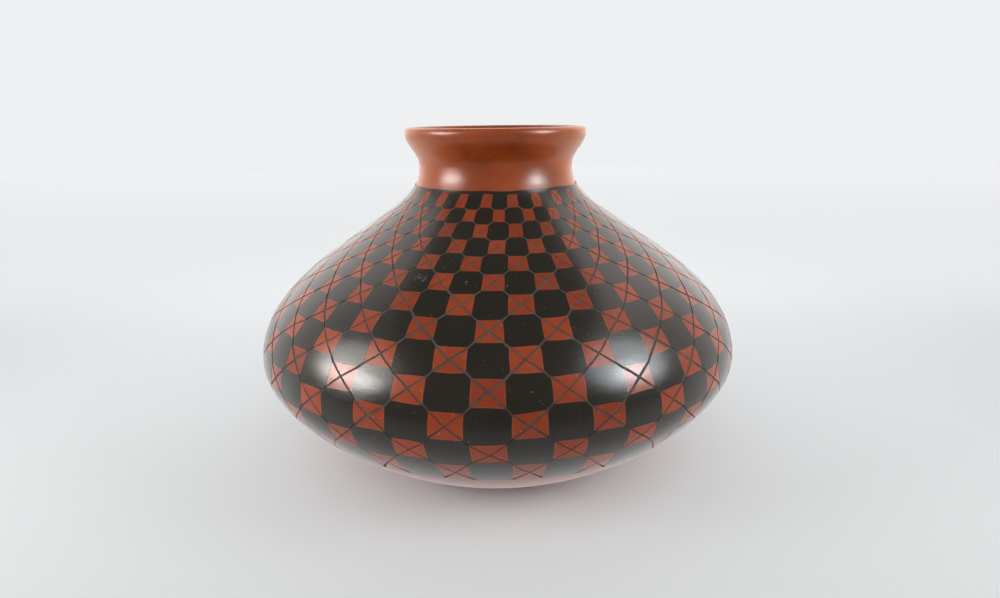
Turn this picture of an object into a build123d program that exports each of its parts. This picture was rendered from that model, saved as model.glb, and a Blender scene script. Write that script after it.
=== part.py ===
"""Hand-built pueblo pottery jar: a wide low belly, a sloping shoulder and a short flared neck.

The wall is a pressed base dish, coil courses luted one on another, a neck coil and a rim coil.
A red slip coats the body, a tan slip coats the neck and lip, and a checkerboard of black painted
squares, one ring of them to each row, covers the body below a painted border line.

Millimetres, +Z up, origin at the centre of the foot.
"""
from build123d import *

import os
from math import cos, degrees, radians, sin, sqrt

# Outline of the fired clay, from the foot up: radii, and the rise from each level to the next
FOOT_RADIUS = 37.0
BELLY_RADIUS = 89.15
SHOULDER_RADIUS = 40.8
THROAT_RADIUS = 28.3
RIM_RADIUS = 33.3
BELLY_RISE = 43.7
SHOULDER_RISE = 49.7
THROAT_RISE = 18.4
RIM_RISE = 11.6

# Slope of the outline at three levels, in degrees from level
FOOT_SLOPE = 12.0
SHOULDER_SLOPE = 35.3
RIM_SLOPE = 94.5

# How far the outline holds its direction on either side of each level
FOOT_REACH = 18.8
BELLY_REACH_BELOW = 15.2
BELLY_REACH_ABOVE = 21.6
SHOULDER_REACH_BELOW = 24.1
SHOULDER_REACH_ABOVE = 10.1
THROAT_REACH_BELOW = 8.9
THROAT_REACH_ABOVE = 3.8
RIM_REACH = 4.0

# Thickness of the clay, measured square to the outline
BODY_WALL = 4.6
LIP_WALL = 2.4
FLOOR_THICKNESS = 6.0

# Clay pieces, measured along the outline
DISH_HEIGHT = 30.0
RIM_COIL_HEIGHT = 8.0
NECK_COIL_HEIGHT = 13.0
LOWER_WALL_COILS = 2
SHOULDER_COILS = 5
JOINT_LAP = 3.0

# Slip and paint
BOND_LINE = 0.12
SLIP_THICKNESS = 0.3
PAINT_THICKNESS = 0.3
SLIP_FOOT_MARGIN = 3.0
SLIP_MOUTH_DEPTH = 9.0

# Painted pattern
COLUMNS = 48
ROWS = 13
PATTERN_TOP_MARGIN = 7.9
PATTERN_FOOT_MARGIN = 48.0
BORDER_HEIGHT = 0.8
ROW_HEIGHT_STEP = 0.42
GROWING_ROWS = 7
FOOT_ROW_EXTRA = 3.5
SQUARE_SPREAD = 0.6
INCISED_LINE_WIDTH = 0.7
FIRST_COLUMN_ANGLE = 2.6
COLUMN_LEAN = -1.0
COLUMN_BEND = 0.056

# Spacing of the points that a curve of the section runs through
POINT_SPACING = 1.5
FEWEST_POINTS = 6


def section_point(radius, height):
    """Point of the section plane, which holds the jar's axis."""
    return Vector(radius, 0, height)


def section_direction(slope, reach):
    """Step of a given length along a slope in the section plane."""
    return Vector(reach * cos(radians(slope)), 0, reach * sin(radians(slope)))


def straight_up(reach):
    """Step of a given length along the axis."""
    return Vector(0, 0, reach)


# Outline of the clay from the foot's edge to the lip
belly_level = BELLY_RISE
shoulder_level = belly_level + SHOULDER_RISE
throat_level = shoulder_level + THROAT_RISE
rim_level = throat_level + RIM_RISE

foot_edge = section_point(FOOT_RADIUS, 0)
belly_edge = section_point(BELLY_RADIUS, belly_level)
shoulder_edge = section_point(SHOULDER_RADIUS, shoulder_level)
throat_edge = section_point(THROAT_RADIUS, throat_level)
rim_edge = section_point(RIM_RADIUS, rim_level)

lower_wall = Bezier(
    foot_edge,
    foot_edge + section_direction(FOOT_SLOPE, FOOT_REACH),
    belly_edge - straight_up(BELLY_REACH_BELOW),
    belly_edge,
)
shoulder_wall = Bezier(
    belly_edge,
    belly_edge + straight_up(BELLY_REACH_ABOVE),
    shoulder_edge - section_direction(180 - SHOULDER_SLOPE, SHOULDER_REACH_BELOW),
    shoulder_edge,
)
neck_foot = Bezier(
    shoulder_edge,
    shoulder_edge + section_direction(180 - SHOULDER_SLOPE, SHOULDER_REACH_ABOVE),
    throat_edge - straight_up(THROAT_REACH_BELOW),
    throat_edge,
)
neck_flare = Bezier(
    throat_edge,
    throat_edge + straight_up(THROAT_REACH_ABOVE),
    rim_edge - section_direction(RIM_SLOPE, RIM_REACH),
    rim_edge,
)
outline = Wire([lower_wall, shoulder_wall, neck_foot, neck_flare])

# Levels measured along the outline from the foot's edge
belly_along = lower_wall.length
shoulder_along = belly_along + shoulder_wall.length
throat_along = shoulder_along + neck_foot.length
rim_along = throat_along + neck_flare.length


def wall_at(along):
    """Thickness of the clay: even over the body, thinning up the neck to the lip."""
    up_the_neck = max(0.0, (along - shoulder_along) / (rim_along - shoulder_along))
    return BODY_WALL + (LIP_WALL - BODY_WALL) * up_the_neck


def wall_run(along):
    """Direction of the outline, upwards, at a length along it."""
    return outline.tangent_at(along, PositionMode.LENGTH)


def wall_point(along, depth):
    """Point at a length along the outline and a depth into the clay; a negative depth is outside."""
    run = wall_run(along)
    inward = Vector(-run.Z, 0, run.X)
    return outline.position_at(along, PositionMode.LENGTH) + inward * depth


def smooth_curve(start, end, depth_at):
    """Curve that follows one smooth stretch of the outline at a depth."""
    spans = max(FEWEST_POINTS - 1, round(abs(end - start) / POINT_SPACING))
    stops = [start + (end - start) * step / spans for step in range(spans + 1)]
    return Spline([wall_point(stop, depth_at(stop)) for stop in stops])


def wall_curve(start, end, depth_at):
    """Curves that follow the outline at a depth, one for each stretch between its levels."""
    low, high = sorted((start, end))
    between = [level for level in (belly_along, shoulder_along, throat_along) if low < level < high]
    levels = [low, *between, high]
    if start > end:
        levels.reverse()
    return [smooth_curve(first, last, depth_at) for first, last in zip(levels, levels[1:])]


def face_curve(start, end, depth):
    """Curves that follow the outline at an even depth."""
    return wall_curve(start, end, lambda along: depth)


def lip_arc(depth):
    """Half-round over the lip, from the outside to the inside, at an even depth into the clay."""
    middle = wall_point(rim_along, LIP_WALL / 2)
    crown = middle + wall_run(rim_along) * (LIP_WALL / 2 - depth)
    return ThreePointArc(wall_point(rim_along, depth), crown, wall_point(rim_along, LIP_WALL - depth))


def ring(edges):
    """Solid of a closed section turned once round the jar's axis."""
    return revolve(make_face(edges), Axis.Z)


def write(shape, name):
    """Label a piece and write it to its own file."""
    shape.label = name
    export_step(shape, os.path.join("parts", name + ".step"))


def base_dish(top):
    """Dish pressed in a bowl mould: the flat foot, the floor and the first of the wall."""
    inner_top = top + JOINT_LAP
    inner_foot = wall_point(0, BODY_WALL)
    floor_centre = section_point(0, FLOOR_THICKNESS)
    floor = Spline([inner_foot, floor_centre], tangents=[-wall_run(0), (-1, 0, 0)])
    return ring(
        [
            Line((0, 0, 0), foot_edge),
            face_curve(0, top, 0),
            Line(wall_point(top, 0), wall_point(inner_top, BODY_WALL)),
            wall_curve(inner_top, 0, wall_at),
            floor,
            Line(floor_centre, (0, 0, 0)),
        ]
    )


def coil(bottom, top):
    """Course of clay whose two joints are bevelled, each lapping up behind the outer face."""
    inner_bottom = bottom + JOINT_LAP
    inner_top = top + JOINT_LAP
    return ring(
        [
            face_curve(bottom, top, 0),
            Line(wall_point(top, 0), wall_point(inner_top, wall_at(inner_top))),
            wall_curve(inner_top, inner_bottom, wall_at),
            Line(wall_point(inner_bottom, wall_at(inner_bottom)), wall_point(bottom, 0)),
        ]
    )


def rim_coil(bottom):
    """Last course, ending in a half-round lip."""
    inner_bottom = bottom + JOINT_LAP
    return ring(
        [
            face_curve(bottom, rim_along, 0),
            lip_arc(0),
            wall_curve(rim_along, inner_bottom, wall_at),
            Line(wall_point(inner_bottom, wall_at(inner_bottom)), wall_point(bottom, 0)),
        ]
    )


def coat_section(bottom, top, inner_depth, outer_depth):
    """Section of an even coat on the outer face."""
    return [
        face_curve(bottom, top, outer_depth),
        Line(wall_point(top, outer_depth), wall_point(top, inner_depth)),
        face_curve(top, bottom, inner_depth),
        Line(wall_point(bottom, inner_depth), wall_point(bottom, outer_depth)),
    ]


def neck_slip(bottom):
    """Coat of slip from the border line up the neck, over the lip and down into the mouth."""
    mouth = rim_along - SLIP_MOUTH_DEPTH
    outer = slip_outer_depth
    inner = slip_inner_depth
    return ring(
        [
            face_curve(bottom, rim_along, outer),
            lip_arc(outer),
            wall_curve(rim_along, mouth, lambda along: wall_at(along) - outer),
            Line(wall_point(mouth, wall_at(mouth) - outer), wall_point(mouth, wall_at(mouth) - inner)),
            wall_curve(mouth, rim_along, lambda along: wall_at(along) - inner),
            lip_arc(inner),
            face_curve(rim_along, bottom, inner),
            Line(wall_point(bottom, inner), wall_point(bottom, outer)),
        ]
    )


def corner_cutter(along, angle):
    """Block on edge at one corner of a square, which takes the corner off as far as the incised line."""
    run = wall_run(along)
    seat = Plane(wall_point(along, paint_outer_depth), x_dir=run, z_dir=(run.Z, 0, -run.X))
    side = 2 * SQUARE_SPREAD * sqrt(2) + INCISED_LINE_WIDTH
    return Rot(Z=angle) * (seat * Rot(Z=45) * Box(side, side, side))


def painted_square(bottom, top, width_angle):
    """One black square, its corners clipped where the incised lines pass."""
    section = coat_section(bottom, top, paint_inner_depth, paint_outer_depth)
    square = revolve(make_face(section), Axis.Z, width_angle)
    corners = [(along, angle) for along in (bottom, top) for angle in (0, width_angle)]
    return square - [corner_cutter(along, angle) for along, angle in corners]


def painted_row(row, bottom, top):
    """Ring of black squares, one in every second column, each spread a little past its own cell."""
    radius = wall_point((bottom + top) / 2, paint_outer_depth).X
    width_angle = column_angle + 2 * degrees(SQUARE_SPREAD / radius)
    square = painted_square(bottom - SQUARE_SPREAD, top + SQUARE_SPREAD, width_angle)
    sway = COLUMN_LEAN * row + COLUMN_BEND * row**2
    row_angle = FIRST_COLUMN_ANGLE + sway - width_angle / 2
    first = row % 2
    return Compound(
        [
            Rot(Z=row_angle + column_angle * column) * square
            for column in range(first, COLUMNS, 2)
        ]
    )


os.makedirs("parts", exist_ok=True)

# Clay, from the foot up
neck_along = rim_along - RIM_COIL_HEIGHT - NECK_COIL_HEIGHT
rim_coil_along = rim_along - RIM_COIL_HEIGHT
body_coil_names = [f"lower_wall_coil_{number + 1}" for number in range(LOWER_WALL_COILS)]
body_coil_names.append("belly_coil")
body_coil_names += [f"shoulder_coil_{number + 1}" for number in range(SHOULDER_COILS)]
body_coil_height = (neck_along - DISH_HEIGHT) / len(body_coil_names)

write(base_dish(DISH_HEIGHT), "base_dish")
for number, name in enumerate(body_coil_names):
    coil_bottom = DISH_HEIGHT + body_coil_height * number
    write(coil(coil_bottom, coil_bottom + body_coil_height), name)
write(coil(neck_along, rim_coil_along), "neck_coil")
write(rim_coil(rim_coil_along), "rim_coil")

# Slip over the clay
slip_inner_depth = -BOND_LINE
slip_outer_depth = slip_inner_depth - SLIP_THICKNESS
border_top = throat_along - PATTERN_TOP_MARGIN
border_bottom = border_top - BORDER_HEIGHT
body_slip = coat_section(SLIP_FOOT_MARGIN, border_top, slip_inner_depth, slip_outer_depth)

write(ring(body_slip), "body_red_slip")
write(neck_slip(border_top + BOND_LINE), "neck_tan_slip")

# Black paint over the slip, the border line first and then the rows from the neck down
paint_inner_depth = slip_outer_depth - BOND_LINE
paint_outer_depth = paint_inner_depth - PAINT_THICKNESS
border = coat_section(border_bottom + BOND_LINE, border_top, paint_inner_depth, paint_outer_depth)
write(ring(border), "black_border_line")

column_angle = 360 / COLUMNS
row_top = border_bottom - SQUARE_SPREAD
pattern_height = row_top - PATTERN_FOOT_MARGIN
row_growth = [ROW_HEIGHT_STEP * min(row, GROWING_ROWS) for row in range(ROWS)]
row_growth[-1] += FOOT_ROW_EXTRA
first_row_height = (pattern_height - sum(row_growth)) / ROWS
for row in range(ROWS):
    row_bottom = row_top - first_row_height - row_growth[row]
    write(painted_row(row, row_bottom, row_top), f"black_squares_row_{row + 1:02d}")
    row_top = row_bottom
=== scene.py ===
from math import cos, pi, radians, sin

import bpy
from mathutils import Matrix, Vector
from mathutils.geometry import interpolate_bezier


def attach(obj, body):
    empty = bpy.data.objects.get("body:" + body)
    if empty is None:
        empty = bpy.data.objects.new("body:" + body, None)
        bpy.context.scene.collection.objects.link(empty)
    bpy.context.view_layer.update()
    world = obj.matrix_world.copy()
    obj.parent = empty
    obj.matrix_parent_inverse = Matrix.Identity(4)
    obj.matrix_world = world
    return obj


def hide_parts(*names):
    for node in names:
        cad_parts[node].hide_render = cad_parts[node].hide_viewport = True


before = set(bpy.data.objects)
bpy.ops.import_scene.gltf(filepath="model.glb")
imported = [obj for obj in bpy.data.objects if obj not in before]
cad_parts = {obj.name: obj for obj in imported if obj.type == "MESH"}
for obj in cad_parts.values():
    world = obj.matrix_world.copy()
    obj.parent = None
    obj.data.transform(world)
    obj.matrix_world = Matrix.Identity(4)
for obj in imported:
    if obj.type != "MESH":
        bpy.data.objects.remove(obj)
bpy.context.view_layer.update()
scene = bpy.context.scene


# The wall of the jar: a pressed base dish and coils of red-firing clay, luted together and thinned.
# The clay is scraped smooth with a gourd rib inside and left bare there and under the foot.
MM = 0.001
FOOT_RADIUS, BELLY_RADIUS, SHOULDER_RADIUS, THROAT_RADIUS, RIM_RADIUS = 37.0, 89.15, 40.8, 28.3, 33.3
BELLY_LEVEL = 43.7
SHOULDER_LEVEL = BELLY_LEVEL + 49.7
THROAT_LEVEL = SHOULDER_LEVEL + 18.4
RIM_LEVEL = THROAT_LEVEL + 11.6
FOOT_SLOPE, SHOULDER_SLOPE, RIM_SLOPE = 12.0, 144.7, 94.5
FOOT_REACH, RIM_REACH = 18.8, 4.0
BELLY_REACH_BELOW, BELLY_REACH_ABOVE = 15.2, 21.6
SHOULDER_REACH_BELOW, SHOULDER_REACH_ABOVE = 24.1, 10.1
THROAT_REACH_BELOW, THROAT_REACH_ABOVE = 8.9, 3.8
LIP_WALL, THROAT_WALL = 2.4, 3.18
QUARTER_ROUND = 0.5523
INNER_STEPS, CURVE_STEPS = 12, 160
NOISE_LOW, NOISE_HIGH = 0.3, 0.7
CLAY = (0.34, 0.155, 0.082, 1)
CLAY_PALE = (0.44, 0.225, 0.125, 1)
CLAY_GRIT = (0.46, 0.28, 0.175, 1)
CLAY_ROUGHNESS = (0.68, 0.86)


def slope(degrees, reach):
    """Step along a slope in the plane of the outline, in millimetres."""
    return Vector((cos(radians(degrees)) * reach, 0, sin(radians(degrees)) * reach))


def draw_outline():
    """Curve up the outer face of the clay, over the half-round lip and down inside the neck."""
    up = Vector((0, 0, 1))
    foot = Vector((FOOT_RADIUS, 0, 0))
    belly = Vector((BELLY_RADIUS, 0, BELLY_LEVEL))
    shoulder = Vector((SHOULDER_RADIUS, 0, SHOULDER_LEVEL))
    throat = Vector((THROAT_RADIUS, 0, THROAT_LEVEL))
    rim = Vector((RIM_RADIUS, 0, RIM_LEVEL))
    rim_up = slope(RIM_SLOPE, 1)
    rim_in = slope(RIM_SLOPE + 90, 1)
    crown = rim + rim_in * LIP_WALL / 2 + rim_up * LIP_WALL / 2
    round_reach = QUARTER_ROUND * LIP_WALL / 2
    flare = interpolate_bezier(
        rim, rim - rim_up * RIM_REACH, throat + up * THROAT_REACH_ABOVE, throat, INNER_STEPS + 1
    )
    inner = []
    for step, place in enumerate(flare):
        run = (flare[max(step - 1, 0)] - flare[min(step + 1, INNER_STEPS)]).normalized()
        wall = LIP_WALL + (THROAT_WALL - LIP_WALL) * step / INNER_STEPS
        inner.append(place + Vector((-run.z, 0, run.x)) * wall)
    inner[0] = rim + rim_in * LIP_WALL
    knots = [
        (foot, foot, foot + slope(FOOT_SLOPE, FOOT_REACH)),
        (belly, belly - up * BELLY_REACH_BELOW, belly + up * BELLY_REACH_ABOVE),
        (
            shoulder,
            shoulder - slope(SHOULDER_SLOPE, SHOULDER_REACH_BELOW),
            shoulder + slope(SHOULDER_SLOPE, SHOULDER_REACH_ABOVE),
        ),
        (throat, throat - up * THROAT_REACH_BELOW, throat + up * THROAT_REACH_ABOVE),
        (rim, rim - rim_up * RIM_REACH, rim + rim_up * round_reach),
        (crown, crown - rim_in * round_reach, crown + rim_in * round_reach),
    ]
    for step, place in enumerate(inner):
        reach = (inner[min(step + 1, INNER_STEPS)] - inner[max(step - 1, 0)]) / 6
        before = place + rim_up * round_reach if step == 0 else place - reach
        knots.append((place, before, place + reach * (2 if step == 0 else 1)))
    curve = bpy.data.curves.new("clay_outline", "CURVE")
    curve.dimensions = "3D"
    curve.resolution_u = CURVE_STEPS
    spline = curve.splines.new("BEZIER")
    spline.bezier_points.add(len(knots) - 1)
    for point, (place, before, after) in zip(spline.bezier_points, knots):
        point.handle_left_type = "FREE"
        point.handle_right_type = "FREE"
        point.co = place * MM
        point.handle_left = before * MM
        point.handle_right = after * MM
    outline = bpy.data.objects.new("clay_outline", curve)
    scene.collection.objects.link(outline)
    return outline


clay_outline = draw_outline()


def add(tree, kind, inputs=None, **settings):
    """One node, with its settings, and with each named or numbered input set or linked."""
    made = tree.nodes.new(kind)
    for name, value in settings.items():
        setattr(made, name, value)
    for key, value in (inputs or {}).items():
        if isinstance(value, bpy.types.NodeSocket):
            tree.links.new(value, made.inputs[key])
        else:
            made.inputs[key].default_value = value
    return made


def work_out(tree, operation, *values):
    """Result of one sum on numbers or sockets."""
    inputs = dict(enumerate(values))
    return add(tree, "ShaderNodeMath", inputs, operation=operation).outputs[0]


def stretch(tree, value, low, high, to_low, to_high):
    """Value carried from one range to another, and held at the ends."""
    made = add(
        tree, "ShaderNodeMapRange",
        {"Value": value, "From Min": low, "From Max": high, "To Min": to_low, "To Max": to_high},
    )
    return made.outputs[0]


def ease(tree, value, low, high, to_high=1.0):
    """Value carried from a range to one that starts at 0, softly at both ends."""
    made = add(
        tree, "ShaderNodeMapRange",
        {"Value": value, "From Min": low, "From Max": high, "To Max": to_high},
        interpolation_type="SMOOTHSTEP",
    )
    return made.outputs[0]


def shader_group(name, inputs, outputs):
    """Empty shader node group with named value inputs and outputs."""
    group = bpy.data.node_groups.new(name, "ShaderNodeTree")
    for label, value in inputs.items():
        socket = group.interface.new_socket(label, in_out="INPUT", socket_type="NodeSocketFloat")
        socket.default_value = value
    for label in outputs:
        group.interface.new_socket(label, in_out="OUTPUT", socket_type="NodeSocketFloat")
    return group, group.nodes.new("NodeGroupInput"), group.nodes.new("NodeGroupOutput")


def make_strokes_group():
    """Marks of a polishing stone or a scraper: short strokes round the jar, and broad soft clouds."""
    sizes = {"Stroke Length": 0.03, "Stroke Width": 0.0006, "Waver": 0.0006, "Cloud Size": 0.03}
    group, given, out = shader_group("tool_strokes", sizes, ["Strokes", "Clouds"])
    place = add(group, "ShaderNodeTexCoord").outputs["Object"]
    cloud_scale = work_out(group, "DIVIDE", 1.0, given.outputs["Cloud Size"])
    clouds = add(
        group, "ShaderNodeTexNoise",
        {"Vector": place, "Scale": cloud_scale, "Detail": 3.0, "Roughness": 0.55},
    )
    split = add(group, "ShaderNodeSeparateXYZ", {0: place}).outputs
    drift = work_out(group, "MULTIPLY", clouds.outputs[0], given.outputs["Waver"])
    level = work_out(group, "ADD", split["Z"], drift)
    along_x = work_out(group, "DIVIDE", split["X"], given.outputs["Stroke Length"])
    along_y = work_out(group, "DIVIDE", split["Y"], given.outputs["Stroke Length"])
    across = work_out(group, "DIVIDE", level, given.outputs["Stroke Width"])
    stretched = add(group, "ShaderNodeCombineXYZ", {0: along_x, 1: along_y, 2: across})
    strokes = add(
        group, "ShaderNodeTexNoise",
        {"Vector": stretched.outputs[0], "Scale": 1.0, "Detail": 2.0, "Roughness": 0.6},
    )
    group.links.new(strokes.outputs[0], out.inputs["Strokes"])
    group.links.new(clouds.outputs[0], out.inputs["Clouds"])
    return group


tool_strokes = make_strokes_group()


def make_flecks_group():
    """Small marks scattered over a surface, as of grit, rubbing and knocks."""
    sizes = {"Fleck Size": 0.002, "Threshold": 0.7, "Softness": 0.05}
    group, given, out = shader_group("scattered_flecks", sizes, ["Mask"])
    place = add(group, "ShaderNodeTexCoord").outputs["Object"]
    scale = work_out(group, "DIVIDE", 1.0, given.outputs["Fleck Size"])
    noise = add(
        group, "ShaderNodeTexNoise",
        {"Vector": place, "Scale": scale, "Detail": 3.0, "Roughness": 0.5},
    )
    top = work_out(group, "ADD", given.outputs["Threshold"], given.outputs["Softness"])
    mask = ease(group, noise.outputs[0], given.outputs["Threshold"], top)
    group.links.new(mask, out.inputs["Mask"])
    return group


scattered_flecks = make_flecks_group()


def place_group(tree, group, **values):
    """One use of a shader group, with its own values."""
    made = tree.nodes.new("ShaderNodeGroup")
    made.node_tree = group
    for label, value in values.items():
        made.inputs[label.replace("_", " ")].default_value = value
    return made


def blend_colours(tree, share, first, second):
    """Colour that goes from the first to the second as the share goes from 0 to 1."""
    mix = add(tree, "ShaderNodeMix", data_type="RGBA")
    for socket, value in ((mix.inputs[0], share), (mix.inputs[6], first), (mix.inputs[7], second)):
        if isinstance(value, bpy.types.NodeSocket):
            tree.links.new(value, socket)
        else:
            socket.default_value = value
    return mix.outputs[2]


def start_material(name):
    """Material with a Principled shader and nothing linked to it yet."""
    material = bpy.data.materials.new(name)
    material.use_nodes = True
    return material, material.node_tree, material.node_tree.nodes["Principled BSDF"]


def raise_by(tree, shader, height, strength, distance):
    """Relief of the surface from a height."""
    bump = add(tree, "ShaderNodeBump", {"Strength": strength, "Distance": distance, "Height": height})
    tree.links.new(bump.outputs[0], shader.inputs["Normal"])


def make_fired_clay():
    """Bare fired clay: matte, sandy, with the scraper's level strokes."""
    material, tree, shader = start_material("fired_clay")
    marks = place_group(
        tree, tool_strokes, Stroke_Length=0.05, Stroke_Width=0.0016, Waver=0.004, Cloud_Size=0.025
    )
    grit = place_group(tree, scattered_flecks, Fleck_Size=0.0006, Threshold=0.6, Softness=0.1)
    clouds = stretch(tree, marks.outputs["Clouds"], NOISE_LOW, NOISE_HIGH, 0.0, 1.0)
    ground = blend_colours(tree, clouds, CLAY, CLAY_PALE)
    colour = blend_colours(tree, grit.outputs["Mask"], ground, CLAY_GRIT)
    tree.links.new(colour, shader.inputs["Base Color"])
    rough = stretch(tree, marks.outputs["Strokes"], NOISE_LOW, NOISE_HIGH, *CLAY_ROUGHNESS)
    tree.links.new(rough, shader.inputs["Roughness"])
    raise_by(tree, shader, marks.outputs["Strokes"], 0.35, 0.0002)
    return material


fired_clay = make_fired_clay()
for name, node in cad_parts.items():
    if name.endswith("dish") or "coil" in name:
        for slot in node.material_slots:
            slot.material = fired_clay


# The incised lines: after painting, a fine point is drawn through the coats along both diagonals of
# every red square. The cut shows the dusty grey-brown clay under the slip, and this skin is its floor.
# Lengths up the wall are taken along the outline of the clay, from the edge of the foot.
PATTERN_FOOT = 48.0
BORDER_FOOT, BORDER_TOP = 157.586, 158.386
LINE_FLOOR, LINE_SKIN = 0.62, 0.2
LINE_FOOT_MARGIN, LINE_TOP_LAP = 0.3, 0.6
STEPS_ROUND, LINE_STEPS_UP = 240, 72
WELD_DISTANCE = 0.000002
CRISP_FOLD = 0.6
# The cut clay is drawn paler up on the shoulder, by height alone.
LINE_PALER_FROM, LINE_PALER_TO, LINE_PALER_SHARE = 0.065, 0.100, 0.35
CUT_CLAY = (0.050, 0.039, 0.031, 1)
CUT_CLAY_DUSTY = (0.076, 0.062, 0.050, 1)
CUT_CLAY_SHOULDER = (0.120, 0.106, 0.085, 1)
CUT_CLAY_GRIT = (0.042, 0.034, 0.027, 1)
CUT_ROUGHNESS = (0.7, 0.9)


def start_tree(name, sizes):
    """Geometry tree with named inputs; a size is a float, an int, an object or a material."""
    tree = bpy.data.node_groups.new(name, "GeometryNodeTree")
    kinds = {float: "NodeSocketFloat", int: "NodeSocketInt", "object": "NodeSocketObject",
             "material": "NodeSocketMaterial", "geometry": "NodeSocketGeometry"}
    for label, value in sizes.items():
        kind = kinds[value] if isinstance(value, str) else kinds[type(value)]
        socket = tree.interface.new_socket(label, in_out="INPUT", socket_type=kind)
        if not isinstance(value, str):
            socket.default_value = value
    tree.interface.new_socket("Geometry", in_out="OUTPUT", socket_type="NodeSocketGeometry")
    return tree, tree.nodes.new("NodeGroupInput").outputs, tree.nodes.new("NodeGroupOutput")


def choose(tree, test, if_not, if_so):
    """The second number where the test holds, and the first elsewhere."""
    inputs = {"Switch": test, "False": if_not, "True": if_so}
    return add(tree, "GeometryNodeSwitch", inputs, input_type="FLOAT").outputs[0]


def is_more(tree, first, second):
    """Test of whether the first number is more than the second."""
    inputs = {"A": first, "B": second}
    return add(tree, "FunctionNodeCompare", inputs, data_type="FLOAT", operation="GREATER_THAN").outputs[0]


def point_place(tree):
    """Place of each point, as x, y and z."""
    place = add(tree, "GeometryNodeInputPosition").outputs[0]
    return add(tree, "ShaderNodeSeparateXYZ", {0: place}).outputs


def moved_to(tree, shape, place):
    """Shape with each of its points moved to a place."""
    return add(tree, "GeometryNodeSetPosition", {"Geometry": shape, "Position": place}).outputs[0]


def read_outline(tree, outline, along):
    """Radius, height and direction of the clay's outline at a length along it."""
    curve = add(tree, "GeometryNodeObjectInfo", {"Object": outline}).outputs["Geometry"]
    sample = add(tree, "GeometryNodeSampleCurve", {"Curves": curve, "Length": along}, mode="LENGTH")
    place = add(tree, "ShaderNodeSeparateXYZ", {0: sample.outputs["Position"]}).outputs
    run = add(tree, "ShaderNodeSeparateXYZ", {0: sample.outputs["Tangent"]}).outputs
    return place["X"], place["Z"], run["X"], run["Z"]


def make_wall_group():
    """Lays a flat shape on the wall: x is the angle round it, y the length up it, z the height off it.
    The hand's wander shifts everything at one place alike, so that neighbours still meet."""
    sizes = {"Geometry": "geometry", "Outline": "object", "Wander": 0.0, "Wander Size": 0.02}
    tree, given, out = start_tree("lay_on_wall", sizes)
    flat = point_place(tree)
    radius, level = read_outline(tree, given["Outline"], flat["Y"])[:2]
    round_x = work_out(tree, "MULTIPLY", work_out(tree, "SINE", flat["X"]), radius)
    round_y = work_out(tree, "MULTIPLY", work_out(tree, "COSINE", flat["X"]), radius)
    spot = add(tree, "ShaderNodeCombineXYZ", {0: round_x, 1: round_y, 2: level}).outputs[0]
    scale = work_out(tree, "DIVIDE", 1.0, given["Wander Size"])
    noise = add(tree, "ShaderNodeTexNoise", {"Vector": spot, "Scale": scale, "Detail": 1.0})
    hand = add(tree, "ShaderNodeSeparateXYZ", {0: noise.outputs["Color"]}).outputs
    swing = work_out(tree, "MULTIPLY", given["Wander"], 2.0)
    sideways = work_out(tree, "MULTIPLY", work_out(tree, "SUBTRACT", hand["X"], 0.5), swing)
    upward = work_out(tree, "MULTIPLY", work_out(tree, "SUBTRACT", hand["Y"], 0.5), swing)
    angle = work_out(tree, "ADD", flat["X"], work_out(tree, "DIVIDE", sideways, radius))
    along = work_out(tree, "ADD", flat["Y"], upward)
    radius, level, run_out, run_up = read_outline(tree, given["Outline"], along)
    reach = work_out(tree, "MULTIPLY_ADD", flat["Z"], run_up, radius)
    drop = work_out(tree, "MULTIPLY", flat["Z"], run_out)
    back = work_out(tree, "MULTIPLY", reach, -1.0)
    laid = add(
        tree, "ShaderNodeCombineXYZ",
        {
            0: work_out(tree, "MULTIPLY", reach, work_out(tree, "SINE", angle)),
            1: work_out(tree, "MULTIPLY", back, work_out(tree, "COSINE", angle)),
            2: work_out(tree, "SUBTRACT", level, drop),
        },
    )
    tree.links.new(moved_to(tree, given["Geometry"], laid.outputs[0]), out.inputs[0])
    return tree


lay_on_wall = make_wall_group()


def weld(tree, shape):
    """Shape with the points that meet made one."""
    inputs = {"Geometry": shape, "Distance": WELD_DISTANCE}
    return add(tree, "GeometryNodeMergeByDistance", inputs).outputs[0]


def finish_tree(tree, given, out, flat):
    """Lays the flat shape on the wall, welds it, rounds its shading and gives it its material."""
    laid = add(tree, "GeometryNodeGroup", node_tree=lay_on_wall)
    tree.links.new(flat, laid.inputs["Geometry"])
    for label in ("Outline", "Wander", "Wander Size"):
        tree.links.new(given[label], laid.inputs[label])
    welded = weld(tree, laid.outputs[0])
    soft = add(tree, "GeometryNodeSetShadeSmooth", {0: welded, "Shade Smooth": True}, domain="FACE")
    fold = add(tree, "GeometryNodeInputMeshEdgeAngle").outputs["Unsigned Angle"]
    sharp = is_more(tree, fold, CRISP_FOLD)
    crisp = add(
        tree, "GeometryNodeSetShadeSmooth",
        {0: soft.outputs[0], "Selection": sharp, "Shade Smooth": False}, domain="EDGE",
    )
    whole = add(tree, "GeometryNodeRealizeInstances", {0: crisp.outputs[0]})
    dressed = add(tree, "GeometryNodeSetMaterial", {0: whole.outputs[0], "Material": given["Material"]})
    tree.links.new(dressed.outputs[0], out.inputs[0])
    return tree


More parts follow.
